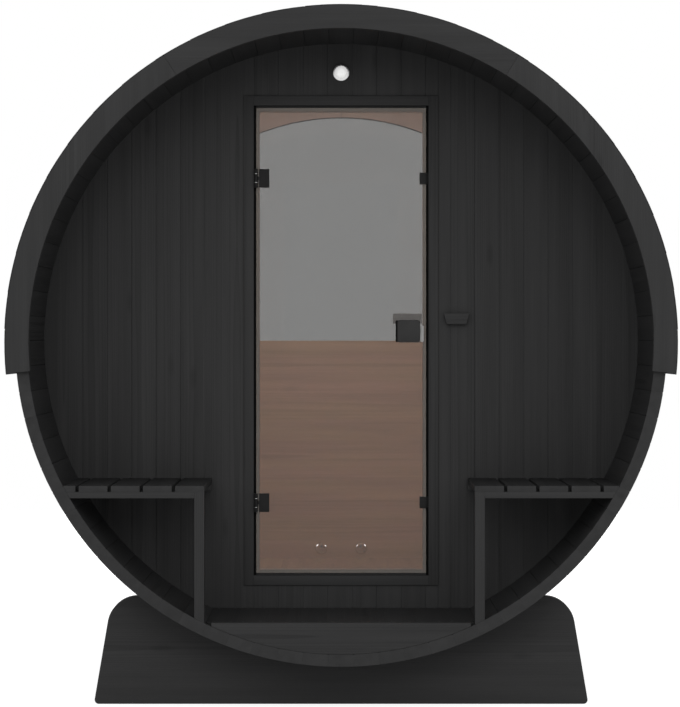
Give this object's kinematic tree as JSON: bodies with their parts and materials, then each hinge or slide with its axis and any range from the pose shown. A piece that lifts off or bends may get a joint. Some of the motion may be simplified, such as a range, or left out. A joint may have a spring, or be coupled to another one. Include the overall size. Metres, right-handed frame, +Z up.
{
  "type": "barrel sauna",
  "caption": "Barrel sauna of black stained staves with an open porch, slatted side benches, a glass door, a half-moon rear window, a covered roof with curved fascias, and cradles.",
  "frame": {"origin": "on the ground under the middle of the barrel", "axes": "+Z up, the barrel's axis along Y with the porch at -Y, +X to the right seen from the porch"},
  "size_m": [2.3278, 2.45, 2.4639],
  "materials": {
    "black_stained_timber": "black stained softwood boards, satin",
    "natural_timber": "planed unpainted softwood",
    "roof_boarding": "sawn boards",
    "roof_cover": "black bitumen shingles, matt and granular",
    "hoop_steel": "stainless band, satin",
    "tinted_glass": "grey-bronze toughened glass",
    "clear_glass": "toughened glass",
    "black_metal": "black powder coat",
    "black_handle": "satin black",
    "brushed_plate": "brushed steel",
    "lamp_ring": "satin",
    "frosted_glass": "white fluted glass, lit",
    "chrome_cap": "polished"
  },
  "bodies": {
    "sauna": {"barrel_bottom": "black_stained_timber", "barrel_lower_left": "black_stained_timber", "barrel_lower_right": "black_stained_timber", "barrel_top": "black_stained_timber", "barrel_upper_left": "black_stained_timber", "barrel_upper_right": "black_stained_timber", "bench_frame_left": "black_stained_timber", "bench_frame_right": "black_stained_timber", "bench_slats_left": "black_stained_timber", "bench_slats_right": "black_stained_timber", "cabin_floor": "natural_timber", "cradle_front": "black_stained_timber", "cradle_rear": "black_stained_timber", "door_catches": "black_metal", "door_head": "black_stained_timber", "door_jamb_left": "black_stained_timber", "door_jamb_right": "black_stained_timber", "door_sill": "black_stained_timber", "floor_bearers": "black_stained_timber", "frame_hinges": "black_metal", "front_fascia_left": "black_stained_timber", "front_fascia_right": "black_stained_timber", "front_fascia_top": "black_stained_timber", "front_wall_left": "black_stained_timber", "front_wall_over_door": "black_stained_timber", "front_wall_right": "black_stained_timber", "front_wall_under_door": "black_stained_timber", "hoops": "hoop_steel", "lamp_base": "lamp_ring", "lamp_glass": "frosted_glass", "porch_floor": "black_stained_timber", "porch_front_board": "black_stained_timber", "rear_arch_left": "black_stained_timber", "rear_arch_right": "black_stained_timber", "rear_fascia_left": "black_stained_timber", "rear_fascia_right": "black_stained_timber", "rear_fascia_top": "black_stained_timber", "rear_wall": "black_stained_timber", "rear_window": "clear_glass", "roof_boards_left": "roof_boarding", "roof_boards_right": "roof_boarding", "roof_cover": "roof_cover", "wall_block": "black_stained_timber", "wall_caps": "chrome_cap"},
    "door": {"door_glass": "tinted_glass", "door_hinges": "black_metal", "door_handle": "black_handle", "handle_plate": "brushed_plate", "handle_grip": "natural_timber"}
  },
  "joints": [
    {"name": "door_hinge", "type": "hinge", "parent": "sauna", "child": "door", "pos_m": [-0.311, -0.7705, 1.3005], "axis": [0, 0, -1], "range_deg": [0, 100]}
  ]
}
